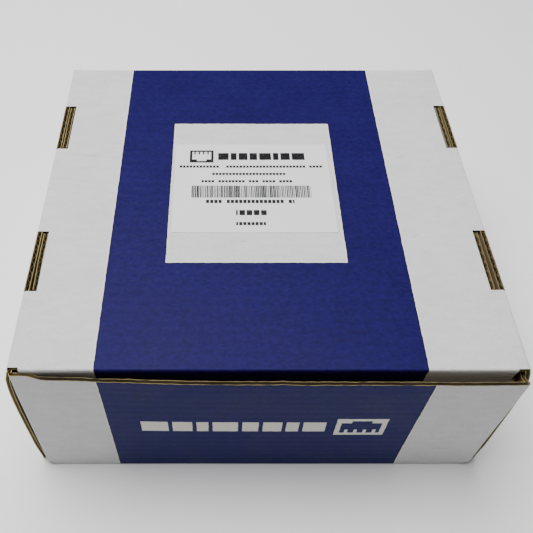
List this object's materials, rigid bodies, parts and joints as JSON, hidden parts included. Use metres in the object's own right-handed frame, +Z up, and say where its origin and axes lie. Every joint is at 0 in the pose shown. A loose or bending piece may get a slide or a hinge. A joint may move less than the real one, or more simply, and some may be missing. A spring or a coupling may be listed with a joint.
{
  "type": "cable spool box",
  "caption": "Corrugated roll-end mailer box, stood tray-up on its lid, with a tuck-eared front flap and a flanged spool of network cable inside.",
  "frame": {"origin": "centre of the underside, on the table", "axes": "+X to the right seen from the lid's front flap, +Y from the front flap to the lid's hinge crease, +Z up"},
  "size_m": [0.26, 0.2518, 0.1102],
  "materials": {
    "white_board": "white coated liner, satin",
    "blue_board": "white coated liner printed dark blue, satin",
    "kraft_board": "plain brown liner",
    "sticker_paper": "semi-gloss label paper",
    "spool_plastic": "moulded, fine matte",
    "spool_tube": "spiral-wound paperboard",
    "cable_jacket": "grey PVC jacket",
    "tape_film": "clear packing tape"
  },
  "bodies": {
    "lid": {"lid_panel": "white_board"},
    "front_flap": {"lid_front_flap": "blue_board", "left_tuck_ear": "white_board", "right_tuck_ear": "white_board"},
    "tray": {"label_panel": "white_board", "front_wall": "white_board", "back_wall": "white_board", "left_side_wall": "white_board", "right_side_wall": "white_board", "left_roll_strip": "white_board", "right_roll_strip": "white_board", "left_inner_wall": "kraft_board", "right_inner_wall": "kraft_board", "front_left_corner_flap": "kraft_board", "front_right_corner_flap": "kraft_board", "back_left_corner_flap": "kraft_board", "back_right_corner_flap": "kraft_board", "label_sticker": "sticker_paper"},
    "spool": {"spool_lower_flange": "spool_plastic", "spool_upper_flange": "spool_plastic", "spool_barrel": "spool_tube", "cable_winding": "cable_jacket", "cable_end": "cable_jacket", "end_tape": "tape_film"}
  },
  "joints": [
    {"name": "front_flap_hinge", "type": "hinge", "parent": "lid", "child": "front_flap", "pos_m": [0, -0.12585, 0], "axis": [1, 0, 0], "range_deg": [0, 90]},
    {"name": "tray_hinge", "type": "hinge", "parent": "lid", "child": "tray", "pos_m": [0, 0.12585, 0], "axis": [-1, 0, 0], "range_deg": [0, 90]},
    {"name": "spool_turn", "type": "hinge", "parent": "tray", "child": "spool", "pos_m": [0, 0.00185, 0.055], "axis": [0, 0, 1], "continuous": true}
  ]
}
